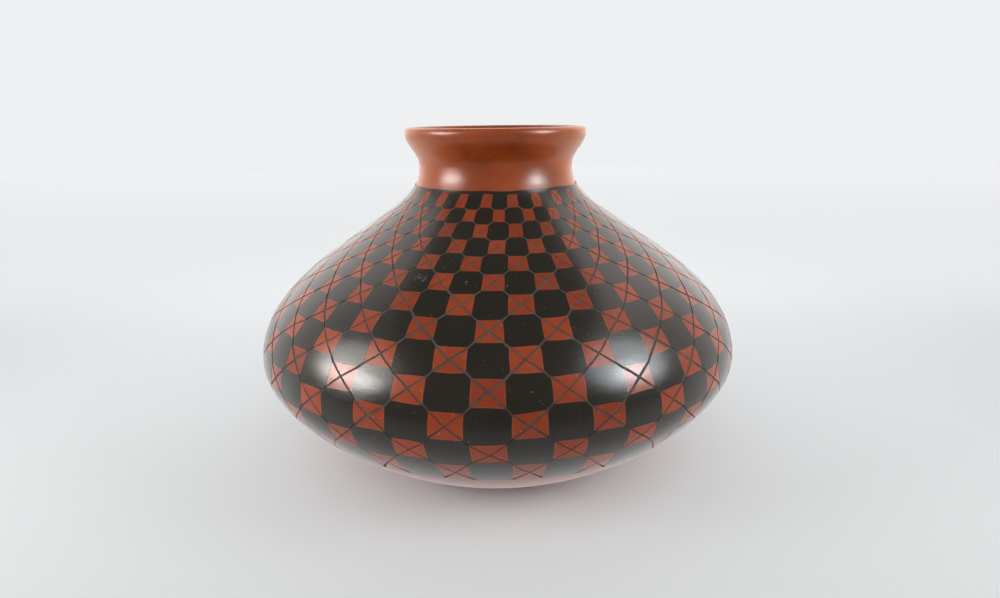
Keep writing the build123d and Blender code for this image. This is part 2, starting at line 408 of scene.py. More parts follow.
def make_ring_tree():
    """Even coat right round the jar: its face goes up the wall, and its underside comes back down."""
    sizes = {
        "Outline": "object", "Bottom": 0.0, "Top": 0.01, "Underside": 0.0, "Face": 0.0003, "Thinning": 0.0,
        "Steps Round": 192, "Steps Up": 24, "Wander": 0.0, "Wander Size": 0.02, "Material": "material",
    }
    tree, given, out = start_tree("ring_coat", sizes)
    points_up = work_out(tree, "ADD", given["Steps Up"], 1.0)
    loop = work_out(tree, "MULTIPLY", points_up, 2.0)
    grid = add(
        tree, "GeometryNodeMeshGrid",
        {
            "Size X": 1.0, "Size Y": 1.0,
            "Vertices X": work_out(tree, "ADD", given["Steps Round"], 1.0),
            "Vertices Y": work_out(tree, "ADD", loop, 1.0),
        },
    )
    lattice = point_place(tree)
    angle = work_out(tree, "MULTIPLY", lattice["X"], 2 * pi)
    round_share = work_out(tree, "ADD", lattice["Y"], 0.5)
    step = work_out(tree, "ROUND", work_out(tree, "MULTIPLY", round_share, loop))
    past = work_out(tree, "SUBTRACT", step, points_up)
    returning = is_more(tree, past, -0.5)
    last = is_more(tree, step, work_out(tree, "SUBTRACT", loop, 0.5))
    rise = work_out(tree, "DIVIDE", step, given["Steps Up"])
    fall = work_out(tree, "SUBTRACT", 1.0, work_out(tree, "DIVIDE", past, given["Steps Up"]))
    share = choose(tree, last, choose(tree, returning, rise, fall), 0.0)
    feather = work_out(tree, "POWER", work_out(tree, "SUBTRACT", 1.0, share), 4.0)
    face = work_out(tree, "SUBTRACT", given["Face"], work_out(tree, "MULTIPLY", feather, given["Thinning"]))
    height = choose(tree, last, choose(tree, returning, face, given["Underside"]), face)
    span = work_out(tree, "SUBTRACT", given["Top"], given["Bottom"])
    along = work_out(tree, "MULTIPLY_ADD", share, span, given["Bottom"])
    flat = add(tree, "ShaderNodeCombineXYZ", {0: angle, 1: along, 2: height})
    return finish_tree(tree, given, out, moved_to(tree, grid.outputs["Mesh"], flat.outputs[0]))


ring_coat = make_ring_tree()


def grow(name, tree, sizes):
    """Plain mesh piece from a geometry tree and its sizes."""
    piece = bpy.data.objects.new(name, bpy.data.meshes.new(name))
    scene.collection.objects.link(piece)
    growth = piece.modifiers.new(name, "NODES")
    growth.node_group = tree
    for item in tree.interface.items_tree:
        if item.item_type == "SOCKET" and item.in_out == "INPUT" and item.name in sizes:
            growth[item.identifier] = sizes[item.name]
    shown = piece.evaluated_get(bpy.context.evaluated_depsgraph_get())
    mesh = bpy.data.meshes.new_from_object(shown)
    piece.modifiers.remove(growth)
    piece.data = mesh
    mesh.name = name
    return piece


def surface_place(tree):
    """Place on the surface, as x, y and z."""
    place = add(tree, "ShaderNodeTexCoord").outputs["Object"]
    return add(tree, "ShaderNodeSeparateXYZ", {0: place}).outputs


def make_cut_clay():
    """Clay laid open by the point: matte, with dust and burnish wax in the bottom of the cut."""
    material, tree, shader = start_material("cut_clay")
    shader.inputs["Specular IOR Level"].default_value = 0.25
    marks = place_group(
        tree, tool_strokes, Stroke_Length=0.004, Stroke_Width=0.002, Waver=0.001, Cloud_Size=0.006
    )
    grit = place_group(tree, scattered_flecks, Fleck_Size=0.0009, Threshold=0.55, Softness=0.12)
    dust = stretch(tree, marks.outputs["Clouds"], 0.35, 0.65, 0.0, 1.0)
    settled = blend_colours(tree, dust, CUT_CLAY, CUT_CLAY_DUSTY)
    level = surface_place(tree)["Z"]
    # Paler up on the shoulder: the colour shifts by height alone.
    paler_up_shoulder = stretch(tree, level, LINE_PALER_FROM, LINE_PALER_TO, 0.0, LINE_PALER_SHARE)
    ground = blend_colours(tree, paler_up_shoulder, settled, CUT_CLAY_SHOULDER)
    colour = blend_colours(tree, grit.outputs["Mask"], ground, CUT_CLAY_GRIT)
    tree.links.new(colour, shader.inputs["Base Color"])
    rough = stretch(tree, marks.outputs["Strokes"], NOISE_LOW, NOISE_HIGH, *CUT_ROUGHNESS)
    tree.links.new(rough, shader.inputs["Roughness"])
    raise_by(tree, shader, grit.outputs["Mask"], 0.3, 0.0001)
    return material


incised_lines = grow("incised_lines", ring_coat, {
    "Outline": clay_outline,
    "Bottom": (PATTERN_FOOT + LINE_FOOT_MARGIN) * MM, "Top": (BORDER_FOOT + LINE_TOP_LAP) * MM,
    "Underside": (LINE_FLOOR - LINE_SKIN) * MM, "Face": LINE_FLOOR * MM,
    "Steps Round": STEPS_ROUND, "Steps Up": LINE_STEPS_UP, "Material": make_cut_clay(),
})
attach(incised_lines, "root")


# The red slip: fine iron-red clay brushed over the body in thin coats and polished with a stone.
# It shows as the red squares, which the incised lines divide in four, and as the plain band at the foot.
COLUMNS, ROWS = 48, 13
ROW_GROWTH = [0.42 * min(row, 7) for row in range(ROWS)]
ROW_GROWTH[-1] += 3.5
TOP_ROW_EXTRA = 0.7
SQUARE_SPREAD = 0.6
LINE_WIDTH = 0.7
ROW_SHARES = [min(1.1, 0.6 + 0.07 * row) for row in range(ROWS)]
LINE_SHARES = [min(1.1, 0.42 + 0.1 * row) for row in range(ROWS - 3)] + [0.95, 0.55, 0.42]
PATTERN_TOP = BORDER_FOOT - SQUARE_SPREAD
FIRST_ROW_HEIGHT = (PATTERN_TOP - PATTERN_FOOT - sum(ROW_GROWTH)) / ROWS
PATTERN_ANGLE = radians(2.6)
LEAN = radians(-1.0)
BEND = radians(0.056)
HAND_WANDER = 0.8
HAND_WANDER_SIZE = 13.0
COAT_ROOT = 0.05
SLIP_UNDERSIDE, SLIP_FACE = 0.12, 0.76
SLIP_FOOT_EDGE, FOOT_THINNING, FOOT_STEPS_UP = 3.0, 0.4, 28
LIGHT_HAND, HEAVY_HAND = 0.6, 1.1
DEPTH_SPREAD, DEPTH_SEED_STEP = 0.5, 50.0
# The edge constants set a painted highlight: a pale band where the red meets the black paint.
EDGE_GLINT_FROM, EDGE_GLINT_SHARE = 0.86, 0.45
SLIP_ROUGHNESS = (0.20, 0.24)
SLIP_RED = (0.270, 0.0400, 0.0085, 1)
SLIP_RED_DEEP = (0.212, 0.0290, 0.0064, 1)
# Pale red, for worn flecks and for the painted highlight along the edges by the black.
SLIP_RED_PALE_WEAR_AND_GLINT = (0.300, 0.085, 0.045, 1)


def row_place(row):
    """Bottom and height of one row of squares, counted from the neck down, in millimetres."""
    height = FIRST_ROW_HEIGHT + ROW_GROWTH[row]
    above = FIRST_ROW_HEIGHT * row + sum(ROW_GROWTH[:row])
    return PATTERN_TOP - above - height, height + (TOP_ROW_EXTRA if row == 0 else 0)


def row_sizes(row, face, material):
    """Sizes that a row of red quarters and a row of black squares share."""
    bottom, height = row_place(row)
    return {
        "Outline": clay_outline, "Columns": COLUMNS, "Row": row,
        "Bottom": bottom * MM, "Height": height * MM,
        "Pattern Angle": PATTERN_ANGLE, "Lean": LEAN, "Bend": BEND,
        "Spread": SQUARE_SPREAD * ROW_SHARES[row] * MM, "Line Width": LINE_WIDTH * LINE_SHARES[row] * MM,
        "Underside": (LINE_FLOOR - COAT_ROOT) * MM, "Face": face * MM,
        "Wander": HAND_WANDER * MM, "Wander Size": HAND_WANDER_SIZE * MM, "Material": material,
    }


ROW_INPUTS = {
    "Outline": "object", "Columns": 48, "Row": 0, "Bottom": 0.0, "Height": 0.01, "Pattern Angle": 0.0,
    "Lean": 0.0, "Bend": 0.0, "Spread": 0.0003, "Line Width": 0.0005, "Underside": 0.0, "Face": 0.0005,
    "Wander": 0.0, "Wander Size": 0.02, "Material": "material",
}


def cell_size(tree, given):
    """Radius of the wall at the middle of the row, and the width of one cell there."""
    middle = work_out(tree, "MULTIPLY_ADD", given["Height"], 0.5, given["Bottom"])
    radius = read_outline(tree, given["Outline"], middle)[0]
    width = work_out(tree, "DIVIDE", work_out(tree, "MULTIPLY", radius, 2 * pi), given["Columns"])
    return middle, radius, width


def ring_of_cells(tree, given, shape, across, up, size):
    """Carries a place in a cell, across and up from its middle, to the wall, and thickens the shape."""
    middle, radius = size[:2]
    rows_down = work_out(tree, "SUBTRACT", given["Row"], work_out(tree, "DIVIDE", up, given["Height"]))
    sway = work_out(tree, "MULTIPLY_ADD", given["Bend"], rows_down, given["Lean"])
    turned = work_out(tree, "MULTIPLY_ADD", sway, rows_down, given["Pattern Angle"])
    angle = work_out(tree, "ADD", turned, work_out(tree, "DIVIDE", across, radius))
    along = work_out(tree, "ADD", middle, up)
    flat = add(tree, "ShaderNodeCombineXYZ", {0: angle, 1: along, 2: given["Underside"]})
    sealed = weld(tree, moved_to(tree, shape, flat.outputs[0]))
    lift = work_out(tree, "SUBTRACT", given["Face"], given["Underside"])
    raised = add(
        tree, "GeometryNodeExtrudeMesh",
        {
            "Mesh": sealed, "Offset Scale": 1.0, "Individual": False,
            "Offset": add(tree, "ShaderNodeCombineXYZ", {2: lift}).outputs[0],
        },
        mode="FACES",
    )
    under = add(tree, "GeometryNodeFlipFaces", {0: sealed})
    both = add(tree, "GeometryNodeJoinGeometry")
    tree.links.new(under.outputs[0], both.inputs[0])
    tree.links.new(raised.outputs["Mesh"], both.inputs[0])
    return both.outputs[0]


def keep_value(tree, shape, name, value):
    """Shape whose points keep a named number, which the material reads."""
    inputs = {"Geometry": shape, "Name": name, "Value": value}
    kept = add(tree, "GeometryNodeStoreNamedAttribute", inputs, data_type="FLOAT", domain="POINT")
    return kept.outputs[0]


def make_red_tree():
    """Row of red squares, each of four quarters that leave the two diagonals of the cell free."""
    tree, given, out = start_tree("red_quarters", {**ROW_INPUTS, "Foot Reach": 0.0, "Seed": 4})
    size = cell_size(tree, given)
    width = size[2]
    grid = add(
        tree, "GeometryNodeMeshGrid", {"Size X": 1.0, "Size Y": 1.0, "Vertices X": 4, "Vertices Y": 5}
    )
    count = work_out(tree, "MULTIPLY", given["Columns"], 2.0)
    line = add(tree, "GeometryNodeMeshLine", {"Count": count, "Offset": (0, 0, 0)}, mode="OFFSET")
    copies = add(
        tree, "GeometryNodeInstanceOnPoints", {"Points": line.outputs[0], "Instance": grid.outputs["Mesh"]}
    )
    number = add(tree, "GeometryNodeInputIndex").outputs[0]
    numbered = add(
        tree, "GeometryNodeStoreNamedAttribute",
        {"Geometry": copies.outputs[0], "Name": "quarter", "Value": number},
        data_type="INT", domain="INSTANCE",
    )
    loose = add(tree, "GeometryNodeRealizeInstances", {0: numbered.outputs[0]})
    quarter = add(tree, "GeometryNodeInputNamedAttribute", {"Name": "quarter"}, data_type="INT").outputs[0]
    turn = work_out(tree, "MODULO", quarter, 4.0)
    cell = work_out(tree, "FLOOR", work_out(tree, "MULTIPLY_ADD", quarter, 0.25, 0.01))
    lattice = point_place(tree)
    out_share = work_out(tree, "ADD", lattice["X"], 0.5)
    side_share = work_out(tree, "MULTIPLY", lattice["Y"], 2.0)
    half_width = work_out(tree, "SUBTRACT", work_out(tree, "MULTIPLY", width, 0.5), given["Spread"])
    half_row = work_out(tree, "MULTIPLY", given["Height"], 0.5)
    half_height = work_out(tree, "SUBTRACT", half_row, given["Spread"])
    square = work_out(tree, "MULTIPLY", half_height, half_height)
    diagonal = work_out(tree, "SQRT", work_out(tree, "MULTIPLY_ADD", half_width, half_width, square))
    pressure = add(
        tree, "FunctionNodeRandomValue",
        {"ID": cell, "Seed": given["Seed"], 2: LIGHT_HAND, 3: HEAVY_HAND}, data_type="FLOAT",
    ).outputs[1]
    half_line = work_out(tree, "MULTIPLY", work_out(tree, "MULTIPLY", given["Line Width"], 0.5), pressure)
    upright = is_more(tree, work_out(tree, "MODULO", turn, 2.0), 0.5)
    reach = choose(tree, upright, half_width, half_height)
    flank = choose(tree, upright, half_height, half_width)
    clear = work_out(tree, "DIVIDE", work_out(tree, "MULTIPLY", half_line, diagonal), flank)
    downward = is_more(tree, turn, 2.5)
    extra = choose(tree, downward, 0.0, given["Foot Reach"])
    run = work_out(tree, "ADD", work_out(tree, "SUBTRACT", reach, clear), extra)
    outward = work_out(tree, "MULTIPLY_ADD", out_share, run, clear)
    opening = work_out(tree, "DIVIDE", flank, work_out(tree, "ADD", reach, extra))
    fan = work_out(tree, "MULTIPLY", side_share, out_share)
    sideways = work_out(tree, "MULTIPLY", fan, work_out(tree, "MULTIPLY", run, opening))
    sense = choose(tree, is_more(tree, turn, 1.5), 1.0, -1.0)
    outward = work_out(tree, "MULTIPLY", outward, sense)
    sideways = work_out(tree, "MULTIPLY", sideways, sense)
    in_cell = choose(tree, upright, outward, work_out(tree, "MULTIPLY", sideways, -1.0))
    up = choose(tree, upright, sideways, outward)
    odd_first = work_out(tree, "SUBTRACT", 1.0, work_out(tree, "MODULO", given["Row"], 2.0))
    column = work_out(tree, "MULTIPLY_ADD", cell, 2.0, odd_first)
    across = work_out(tree, "MULTIPLY_ADD", column, width, in_cell)
    # The share out towards the black paint is kept for the painted highlight along that edge.
    toned = keep_value(tree, loose.outputs[0], "slip_edge", out_share)
    depth_seed = work_out(tree, "ADD", given["Seed"], DEPTH_SEED_STEP)
    depth = add(
        tree, "FunctionNodeRandomValue",
        {"ID": cell, "Seed": depth_seed, 2: -DEPTH_SPREAD, 3: DEPTH_SPREAD}, data_type="FLOAT",
    ).outputs[1]
    varied = keep_value(tree, toned, "slip_depth", depth)
    return finish_tree(tree, given, out, ring_of_cells(tree, given, varied, across, up, size))


def make_red_slip():
    """Stone-polished red slip: satin, fine-grained and cloudy, with level strokes, pale worn flecks and a
    painted glint along the edges by the black.
    """
    material, tree, shader = start_material("red_slip")
    marks = place_group(
        tree, tool_strokes, Stroke_Length=0.008, Stroke_Width=0.0004, Waver=0.002, Cloud_Size=0.02
    )
    wear = place_group(tree, scattered_flecks, Fleck_Size=0.0012, Threshold=0.66, Softness=0.06)
    clouds = stretch(tree, marks.outputs["Clouds"], NOISE_LOW, NOISE_HIGH, 0.0, 1.0)
    depth = add(tree, "ShaderNodeAttribute", attribute_name="slip_depth").outputs["Fac"]
    ground = blend_colours(tree, work_out(tree, "ADD", clouds, depth), SLIP_RED_DEEP, SLIP_RED)
    edge = add(tree, "ShaderNodeAttribute", attribute_name="slip_edge").outputs["Fac"]
    shader.inputs["Specular IOR Level"].default_value = 0.39
    # Painted highlight: the slip pales in a thin band where each red quarter meets the black paint, as if
    # its edge caught the light.
    edge_glint = stretch(tree, edge, EDGE_GLINT_FROM, 1.0, 0.0, EDGE_GLINT_SHARE)
    with_edge_glint = blend_colours(tree, edge_glint, ground, SLIP_RED_PALE_WEAR_AND_GLINT)
    colour = blend_colours(tree, wear.outputs["Mask"], with_edge_glint, SLIP_RED_PALE_WEAR_AND_GLINT)
    tree.links.new(colour, shader.inputs["Base Color"])
    rough = stretch(tree, marks.outputs["Strokes"], NOISE_LOW, NOISE_HIGH, *SLIP_ROUGHNESS)
    tree.links.new(rough, shader.inputs["Roughness"])
    grain = place_group(tree, scattered_flecks, Fleck_Size=0.0005, Threshold=0.42, Softness=0.2)
    raise_by(tree, shader, grain.outputs["Mask"], 0.13, 0.00005)
    return material


def join_pieces(name, pieces):
    """One piece from several meshes of the same material."""
    with bpy.context.temp_override(active_object=pieces[0], selected_editable_objects=pieces):
        bpy.ops.object.join()
    pieces[0].name = name
    pieces[0].data.name = name
    return pieces[0]


red_slip = make_red_slip()
red_tree = make_red_tree()
red_parts = []
for row in range(ROWS):
    sizes = row_sizes(row, SLIP_FACE, red_slip)
    sizes["Seed"] = row
    sizes["Foot Reach"] = 2 * SQUARE_SPREAD * MM if row == ROWS - 1 else 0.0
    red_parts.append(grow(f"red_row_{row + 1:02d}", red_tree, sizes))
red_parts.append(grow("red_foot_band", ring_coat, {
    "Outline": clay_outline, "Bottom": SLIP_FOOT_EDGE * MM, "Top": (PATTERN_FOOT - SQUARE_SPREAD) * MM,
    "Underside": SLIP_UNDERSIDE * MM, "Face": SLIP_FACE * MM, "Thinning": FOOT_THINNING * MM,
    "Steps Round": STEPS_ROUND, "Steps Up": FOOT_STEPS_UP,
    "Wander": HAND_WANDER * MM, "Wander Size": HAND_WANDER_SIZE * MM, "Material": red_slip,
}))
body_slip = join_pieces("red_slip_coat", red_parts)
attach(body_slip, "root")
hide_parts("body_red_slip")


# The tan slip: a paler orange-brown wash on the neck, carried over the lip and a little way inside.
# It is brushed on last of the slips and polished round the neck, so its strokes run level.
LIP_ALONG, LIP_ROUND, MOUTH_DEPTH = 179.131, 3.77, 9.0
MOUTH_END = LIP_ALONG + LIP_ROUND + MOUTH_DEPTH
TAN_UNDERSIDE, TAN_FACE, TAN_LAP, TAN_STEPS_UP = 0.1, 0.42, 0.3, 90
TAN_ROUGHNESS = 0.27
STREAK_SHARE = 0.05
# Painted sheen: the neck's colour pales towards the sheen colour as its surface turns away from the view.
PAINTED_SHEEN_FROM, PAINTED_SHEEN_TO, PAINTED_SHEEN_SHARE = 0.25, 0.75, 0.85
TAN = (0.300, 0.053, 0.0082, 1)
TAN_DEEP = (0.186, 0.032, 0.0060, 1)
TAN_PALE = (0.32, 0.090, 0.035, 1)
TAN_PAINTED_SHEEN = (0.49, 0.137, 0.036, 1)


def make_tan_slip():
    """Orange-brown slip, burnished to a soft gloss, with brush streaks round the neck, and a painted sheen
    that pales it where the neck turns away from the view.
    """
    material, tree, shader = start_material("tan_slip")
    shader.inputs["Specular IOR Level"].default_value = 0.42
    marks = place_group(
        tree, tool_strokes, Stroke_Length=0.03, Stroke_Width=0.0009, Waver=0.004, Cloud_Size=0.022
    )
    wear = place_group(tree, scattered_flecks, Fleck_Size=0.0014, Threshold=0.68, Softness=0.08)
    clouds = stretch(tree, marks.outputs["Clouds"], 0.32, 0.68, 0.0, 1.0)
    ground = blend_colours(tree, clouds, TAN_DEEP, TAN)
    streaks = stretch(tree, marks.outputs["Strokes"], 0.35, 0.75, 0.0, STREAK_SHARE)
    brushed = blend_colours(tree, streaks, ground, TAN_PALE)
    # Painted sheen: the colour pales where the neck turns away from the view, standing in for light
    # reflected at the flared sides.
    facing = add(tree, "ShaderNodeLayerWeight", {"Blend": 0.5}).outputs["Facing"]
    painted_sheen = stretch(tree, facing, PAINTED_SHEEN_FROM, PAINTED_SHEEN_TO, 0.0, PAINTED_SHEEN_SHARE)
    with_painted_sheen = blend_colours(tree, painted_sheen, brushed, TAN_PAINTED_SHEEN)
    colour = blend_colours(tree, wear.outputs["Mask"], with_painted_sheen, TAN_PALE)
    tree.links.new(colour, shader.inputs["Base Color"])
    shader.inputs["Roughness"].default_value = TAN_ROUGHNESS
    return material


neck_slip = grow("tan_slip_neck", ring_coat, {
    "Outline": clay_outline, "Bottom": (BORDER_TOP - TAN_LAP) * MM, "Top": MOUTH_END * MM,
    "Underside": TAN_UNDERSIDE * MM, "Face": TAN_FACE * MM,
    "Steps Round": STEPS_ROUND, "Steps Up": TAN_STEPS_UP, "Material": make_tan_slip(),
})
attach(neck_slip, "root")
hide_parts("neck_tan_slip")


# The black paint: boiled plant and mineral black, brushed over the red slip and polished to a gloss.
# A line is drawn round under the neck first, and then the squares, row below row, by eye.
PAINT_FACE = 0.80
BORDER_START, BORDER_RISE, BORDER_STEPS_UP = 0.2, 0.02, 4
CORNER_SLANT = 0.707
GRID_EDGE, GRID_STRETCH = 0.85, 1.5
KNOCK_CORE = 0.55
PAINT_ROUGHNESS = (0.18, 0.24)
CORNER_SHARES = [1.0] * (ROWS - 2) + [0.65, 0.5]
CORNER_WIDENING = 1.2
SQUARE_GROWTH = 0.03
SQUARE_TURN = radians(1.2)
PAINT_BLACK = (0.0100, 0.0076, 0.0040, 1)
PAINT_BROWN = (0.0145, 0.0110, 0.0060, 1)
PAINT_WORN = (0.075, 0.062, 0.05, 1)
PAINT_BARED = (0.20, 0.18, 0.155, 1)
KNOCKS = [
    ((-0.0244, -0.0555, 0.0811), 0.0016), ((-0.0223, -0.0568, 0.0808), 0.0016),
    ((-0.0089, -0.0611, 0.0803), 0.0009), ((0.0028, -0.0623, 0.0799), 0.0010),
]


def make_black_tree():
    """Row of black squares, one in every second cell, their corners clipped by the incised lines."""
    sizes = {**ROW_INPUTS, "Growth": 0.0, "Turn": 0.0, "Seed": 4}
    tree, given, out = start_tree("black_squares", sizes)
    size = cell_size(tree, given)
    width = size[2]
    half_width = work_out(tree, "MULTIPLY_ADD", width, 0.5, given["Spread"])
    half_height = work_out(tree, "MULTIPLY_ADD", given["Height"], 0.5, given["Spread"])
    slant = work_out(tree, "MULTIPLY", given["Line Width"], CORNER_SLANT)
    clip = work_out(tree, "MULTIPLY_ADD", given["Spread"], 2.0, slant)
    grid = add(
        tree, "GeometryNodeMeshGrid", {"Size X": 2.0, "Size Y": 2.0, "Vertices X": 7, "Vertices Y": 7}
    )
    lattice = point_place(tree)
    at_edge = {}
    spots = {}
    for axis, half in (("X", half_width), ("Y", half_height)):
        share = work_out(tree, "ABSOLUTE", lattice[axis])
        at_edge[axis] = is_more(tree, share, GRID_EDGE)
        inside = work_out(tree, "SUBTRACT", half, clip)
        inner = work_out(tree, "MULTIPLY", inside, work_out(tree, "MULTIPLY", share, GRID_STRETCH))
        spots[axis] = choose(tree, at_edge[axis], inner, half)
    at_corner = add(
        tree, "FunctionNodeBooleanMath", {0: at_edge["X"], 1: at_edge["Y"]}, operation="AND"
    ).outputs[0]
    cut = choose(tree, at_corner, 0.0, work_out(tree, "MULTIPLY", clip, 0.5))
    for axis in ("X", "Y"):
        clipped = work_out(tree, "SUBTRACT", spots[axis], cut)
        spots[axis] = work_out(tree, "MULTIPLY", clipped, work_out(tree, "SIGN", lattice[axis]))
    corners = add(tree, "ShaderNodeCombineXYZ", {0: spots["X"], 1: spots["Y"]}).outputs[0]
    shape = moved_to(tree, grid.outputs["Mesh"], corners)
    first = work_out(tree, "MODULO", given["Row"], 2.0)
    start = add(tree, "ShaderNodeCombineXYZ", {0: work_out(tree, "MULTIPLY", first, width)}).outputs[0]
    pace = add(tree, "ShaderNodeCombineXYZ", {0: work_out(tree, "MULTIPLY", width, 2.0)}).outputs[0]
    count = work_out(tree, "MULTIPLY", given["Columns"], 0.5)
    line = add(
        tree, "GeometryNodeMeshLine",
        {"Count": count, "Start Location": start, "Offset": pace}, mode="OFFSET",
    )
    most = add(tree, "ShaderNodeCombineXYZ", {0: given["Growth"], 1: given["Growth"]}).outputs[0]
    growth = add(
        tree, "FunctionNodeRandomValue",
        {0: (0, 0, 0), 1: most, "Seed": given["Seed"]}, data_type="FLOAT_VECTOR",
    ).outputs[0]
    stretch_by = add(tree, "ShaderNodeVectorMath", {0: growth, 1: (1, 1, 1)}, operation="ADD").outputs[0]
    turn_back = work_out(tree, "MULTIPLY", given["Turn"], -1.0)
    swing = add(
        tree, "FunctionNodeRandomValue",
        {2: turn_back, 3: given["Turn"], "Seed": given["Seed"]}, data_type="FLOAT",
    ).outputs[1]
    copies = add(
        tree, "GeometryNodeInstanceOnPoints",
        {
            "Points": line.outputs[0], "Instance": shape, "Scale": stretch_by,
            "Rotation": add(tree, "ShaderNodeCombineXYZ", {2: swing}).outputs[0],
        },
    )
    loose = add(tree, "GeometryNodeRealizeInstances", {0: copies.outputs[0]})
    placed = point_place(tree)
    ring = ring_of_cells(tree, given, loose.outputs[0], placed["X"], placed["Y"], size)
    return finish_tree(tree, given, out, ring)


def make_black_paint():
    """Polished black paint: glossy, streaked level by the stone, thinning brown and rubbed in places."""
    material, tree, shader = start_material("black_paint")
    marks = place_group(
        tree, tool_strokes, Stroke_Length=0.003, Stroke_Width=0.0003, Waver=0.0015, Cloud_Size=0.014
    )
    wear = place_group(tree, scattered_flecks, Fleck_Size=0.0011, Threshold=0.69, Softness=0.05)
    clouds = stretch(tree, marks.outputs["Clouds"], NOISE_LOW, NOISE_HIGH, 0.0, 1.0)
    ground = blend_colours(tree, clouds, PAINT_BLACK, PAINT_BROWN)
    rubbed = blend_colours(tree, wear.outputs["Mask"], ground, PAINT_WORN)
    dots = place_group(tree, scattered_flecks, Fleck_Size=0.00045, Threshold=0.56, Softness=0.08)
    spot = add(tree, "ShaderNodeTexCoord").outputs["Object"]
    nearest = 1.0
    for place, reach in KNOCKS:
        off = add(tree, "ShaderNodeVectorMath", {0: spot, 1: place}, operation="DISTANCE").outputs["Value"]
        nearest = work_out(tree, "MINIMUM", nearest, work_out(tree, "DIVIDE", off, reach))
    knocked = stretch(tree, nearest, KNOCK_CORE, 1.0, 1.0, 0.0)
    bared = work_out(tree, "MULTIPLY", knocked, dots.outputs["Mask"])
    colour = blend_colours(tree, bared, rubbed, PAINT_BARED)
    tree.links.new(colour, shader.inputs["Base Color"])
    rough = stretch(tree, marks.outputs["Strokes"], NOISE_LOW, NOISE_HIGH, *PAINT_ROUGHNESS)
    tree.links.new(rough, shader.inputs["Roughness"])
    raise_by(tree, shader, marks.outputs["Strokes"], 0.26, 0.0001)
    return material


black_paint = make_black_paint()
border_line = grow("border_line", ring_coat, {
    "Outline": clay_outline, "Bottom": (PATTERN_TOP + BORDER_START) * MM, "Top": BORDER_TOP * MM,
    "Underside": LINE_FLOOR * MM, "Face": (PAINT_FACE + BORDER_RISE) * MM,
    "Steps Round": STEPS_ROUND, "Steps Up": BORDER_STEPS_UP,
    "Wander": HAND_WANDER * MM, "Wander Size": HAND_WANDER_SIZE * MM, "Material": black_paint,
})
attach(border_line, "root")
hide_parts("black_border_line")

black_tree = make_black_tree()
for row in range(ROWS):
    sizes = row_sizes(row, PAINT_FACE, black_paint)
    corner_share = max(CORNER_SHARES[row], CORNER_WIDENING * LINE_SHARES[row])
    sizes["Line Width"] = LINE_WIDTH * corner_share * MM
    sizes.update({"Growth": SQUARE_GROWTH, "Turn": SQUARE_TURN, "Seed": row})
    squares = grow(f"black_squares_{row + 1:02d}", black_tree, sizes)
    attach(squares, "root")
    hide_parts(f"black_squares_row_{row + 1:02d}")

bpy.data.objects.remove(clay_outline)


# The stand for the picture: a pale floor, and a ring of pale paper that stands well away from the jar.
# On each side two lamps show only in the polish and one lights only the matte, as does a lamp in front.
# The room adds an even light.
RING_RADIUS, RING_HEIGHT, RING_STEPS = 1.6, 2.4, 96
FLOOR_COLOUR = (0.74, 0.750, 0.752, 1)
FLOOR_NEAR = (0.66, 0.680, 0.695, 1)
FLOOR_FAR = (2.00, 2.03, 2.07, 1)
FLOOR_SHARE, FLOOR_MIRRORED_SHARE = 0.3, 0.7
FLOOR_MIRRORED_FRONT, FLOOR_MIRRORED_NEAR, FLOOR_MIRRORED_SIDE = 0.17, 0.85, 1.35
FLOOR_MIRRORED_FROM, FLOOR_MIRRORED_TO = -0.32, -0.075
FLOOR_ROUND = 0.3
FLOOR_BESIDE_FROM, FLOOR_BESIDE_TO, FLOOR_BESIDE_SHARE = -0.14, 0.27, 0.8
FLOOR_BEHIND_FROM, FLOOR_BEHIND_TO, FLOOR_BEHIND_SHARE = 0.2, 1.5, 0.2
# Painted shadow: inside these distances from the jar's axis the floor's glow is taken away.
SHADOW_INNER, SHADOW_OUTER = 0.03, 0.085
PAPER_COLOUR = (0.855, 0.870, 0.885, 1)
PAPER_MIRRORED = (0.91, 0.86, 0.835, 1)
PAPER_FRONT, PAPER_SIDE = 0.28, 1.85
PAPER_FRONT_DEPTH, PAPER_SIDE_DEPTH, PAPER_LEAN = -0.85, 0.9, 0.3
PAPER_RIGHT_FROM, PAPER_RIGHT_TO = 0.6, 1.4
PAPER_LOW_FROM, PAPER_LOW_TO, PAPER_LOW_SHADE = 0.9, 1.9, 0.85
WARM, COOL, PLAIN = (1.0, 0.96, 0.92), (0.88, 0.95, 1.0), (1.0, 1.0, 1.0)
JAR_MIDDLE = 0.07
ROOM_COLOUR = (0.97, 0.99, 1.0, 1)
ROOM_LEVEL, ROOM_MIRRORED_LEVEL = 0.43, 0.22


def stand_mesh(name, corners, faces, material):
    """Mesh object for the stand."""
    mesh = bpy.data.meshes.new(name)
    mesh.from_pydata(corners, [], faces)
    mesh.materials.append(material)
    made = bpy.data.objects.new(name, mesh)
    scene.collection.objects.link(made)
    return made


